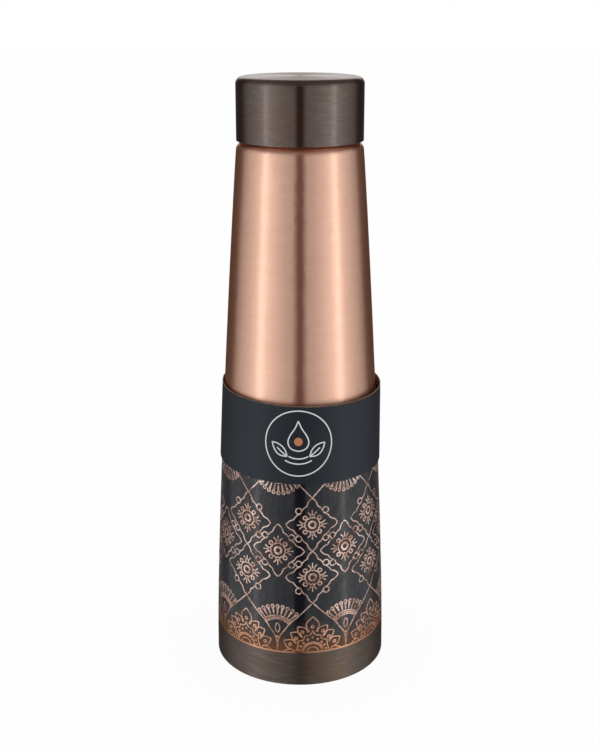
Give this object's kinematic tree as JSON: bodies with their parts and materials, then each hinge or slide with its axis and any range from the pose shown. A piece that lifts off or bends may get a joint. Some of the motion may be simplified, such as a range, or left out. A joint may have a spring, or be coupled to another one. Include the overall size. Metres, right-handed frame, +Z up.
{
  "type": "water bottle",
  "caption": "Tall tapered copper water bottle with an engraved black lower body, a bronze foot, a screw cap on a threaded neck and a loose card sleeve.",
  "frame": {"origin": "centre of the foot, on the surface the bottle stands on", "axes": "+Z up along the bottle's axis; -Y is the front, where the sleeve's emblem is; the sleeve's glued seam is at +Y"},
  "size_m": [0.0796, 0.0796, 0.27],
  "materials": {
    "copper": "brushed round the bottle, with black lacquer and engraving on the lower body",
    "bronze": "antique bronze plating, brushed round",
    "copper_threads": "turned copper",
    "cap_bronze": "antique bronze plating, brushed round",
    "cap_copper": "pressed copper",
    "silicone": "soft, satin",
    "card": "printed card, satin"
  },
  "bodies": {
    "bottle": {"body_shell": "copper", "base_cup": "bronze", "neck_collar": "copper_threads"},
    "seal": {"seal_ring": "silicone"},
    "cap": {"cap_shell": "cap_bronze", "cap_insert": "cap_copper"},
    "sleeve": {"card_sleeve": "card"}
  },
  "joints": [
    {"name": "cap_rise", "type": "slide", "parent": "bottle", "child": "seal", "axis": [0, 0, 1], "range_m": [0, 0.0321]},
    {"name": "cap_turn", "type": "hinge", "parent": "seal", "child": "cap", "pos_m": [0, 0, 0.2663], "axis": [0, 0, 1], "range_deg": [0, 2880]},
    {"name": "sleeve_slide", "type": "slide", "parent": "bottle", "child": "sleeve", "axis": [0, 0, 1], "range_m": [0, 0.175]}
  ],
  "couplings": [
    {"joint": "cap_rise", "follows": "cap_turn", "m_per_rad": 0.00063662}
  ]
}
